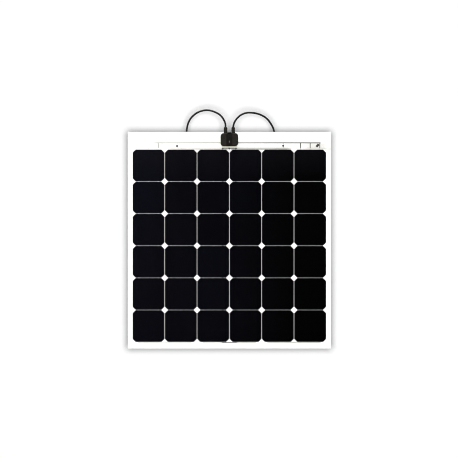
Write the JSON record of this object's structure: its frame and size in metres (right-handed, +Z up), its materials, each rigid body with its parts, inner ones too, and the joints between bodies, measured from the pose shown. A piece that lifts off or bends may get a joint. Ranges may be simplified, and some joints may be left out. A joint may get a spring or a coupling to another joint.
{
  "type": "flexible solar sheet",
  "caption": "White flexible solar laminate with a grid of dark back-contact cells, a junction box at its top edge and two leads with connectors; bends about vertical lines.",
  "frame": {"origin": "centre of the sheet's back face", "axes": "+Z up the sheet towards the junction box, +X to the right as seen from the front, -Y out of the front; the back face looks along +Y"},
  "size_m": [0.8, 0.0513, 0.9428],
  "materials": {
    "clear_film": "clear textured fluoropolymer",
    "clear_encapsulant": "clear",
    "rear_encapsulant": "milky",
    "solar_cell": "dark silicon, anti-reflection coated",
    "tinned_copper": "tinned",
    "bare_copper": "bare",
    "white_back": "satin white",
    "diode_black": "matt",
    "white_sealant": "satin silicone",
    "box_plastic": "moulded, satin",
    "gland_plastic": "moulded, satin",
    "seal_rubber": "matt",
    "potting_resin": "gloss",
    "cable_sheath": "satin",
    "connector_plastic": "moulded, satin"
  },
  "bodies": {
    "root": {"front_film_center": "clear_film", "front_encapsulant_center": "clear_encapsulant", "cells_column_3": "solar_cell", "cells_column_4": "solar_cell", "cell_tabs_center": "tinned_copper", "ribbons_center": "tinned_copper", "rear_encapsulant_center": "rear_encapsulant", "back_sheet_center": "white_back", "bypass_diode_center": "diode_black", "adhesive_pad": "white_sealant", "box_base": "box_plastic", "lid_gasket": "seal_rubber", "potting": "potting_resin", "terminals": "tinned_copper", "cable_cores": "bare_copper", "gland_seals": "seal_rubber", "gland_nut_left": "gland_plastic", "gland_nut_right": "gland_plastic", "cable_left": "cable_sheath", "cable_right": "cable_sheath", "socket_body": "connector_plastic", "socket_nut": "connector_plastic", "socket_contact": "tinned_copper", "socket_seal": "seal_rubber", "plug_body": "connector_plastic", "plug_nut": "connector_plastic", "plug_pin": "tinned_copper"},
    "left_inner": {"front_film_left_inner": "clear_film", "front_encapsulant_left_inner": "clear_encapsulant", "cells_column_2": "solar_cell", "cell_tabs_left_inner": "tinned_copper", "ribbons_left_inner": "tinned_copper", "rear_encapsulant_left_inner": "rear_encapsulant", "back_sheet_left_inner": "white_back", "bypass_diode_left": "diode_black"},
    "left_outer": {"front_film_left_outer": "clear_film", "front_encapsulant_left_outer": "clear_encapsulant", "cells_column_1": "solar_cell", "cell_tabs_left_outer": "tinned_copper", "ribbons_left_outer": "tinned_copper", "rear_encapsulant_left_outer": "rear_encapsulant", "back_sheet_left_outer": "white_back"},
    "right_inner": {"front_film_right_inner": "clear_film", "front_encapsulant_right_inner": "clear_encapsulant", "cells_column_5": "solar_cell", "cell_tabs_right_inner": "tinned_copper", "ribbons_right_inner": "tinned_copper", "rear_encapsulant_right_inner": "rear_encapsulant", "back_sheet_right_inner": "white_back", "bypass_diode_right": "diode_black"},
    "right_outer": {"front_film_right_outer": "clear_film", "front_encapsulant_right_outer": "clear_encapsulant", "cells_column_6": "solar_cell", "cell_tabs_right_outer": "tinned_copper", "ribbons_right_outer": "tinned_copper", "rear_encapsulant_right_outer": "rear_encapsulant", "back_sheet_right_outer": "white_back"},
    "lid": {"box_lid": "box_plastic"}
  },
  "joints": [
    {"name": "bend_left_inner", "type": "hinge", "parent": "root", "child": "left_inner", "pos_m": [-0.1273, -0.001, 0], "axis": [0, 0, 1], "range_deg": [-7.5, 7.5], "stiffness_Nm_per_rad": 12},
    {"name": "bend_left_outer", "type": "hinge", "parent": "left_inner", "child": "left_outer", "pos_m": [-0.2546, -0.001, 0], "axis": [0, 0, 1], "range_deg": [-7.5, 7.5], "stiffness_Nm_per_rad": 12},
    {"name": "bend_right_inner", "type": "hinge", "parent": "root", "child": "right_inner", "pos_m": [0.1273, -0.001, 0], "axis": [0, 0, 1], "range_deg": [-7.5, 7.5], "stiffness_Nm_per_rad": 12},
    {"name": "bend_right_outer", "type": "hinge", "parent": "right_inner", "child": "right_outer", "pos_m": [0.2546, -0.001, 0], "axis": [0, 0, 1], "range_deg": [-7.5, 7.5], "stiffness_Nm_per_rad": 12},
    {"name": "lid_lift", "type": "slide", "parent": "root", "child": "lid", "axis": [0, -1, 0], "range_m": [0, 0.03]}
  ],
  "couplings": [
    {"joint": "bend_left_outer", "follows": "bend_left_inner", "ratio": 1},
    {"joint": "bend_right_inner", "follows": "bend_left_inner", "ratio": -1},
    {"joint": "bend_right_outer", "follows": "bend_left_inner", "ratio": -1}
  ]
}
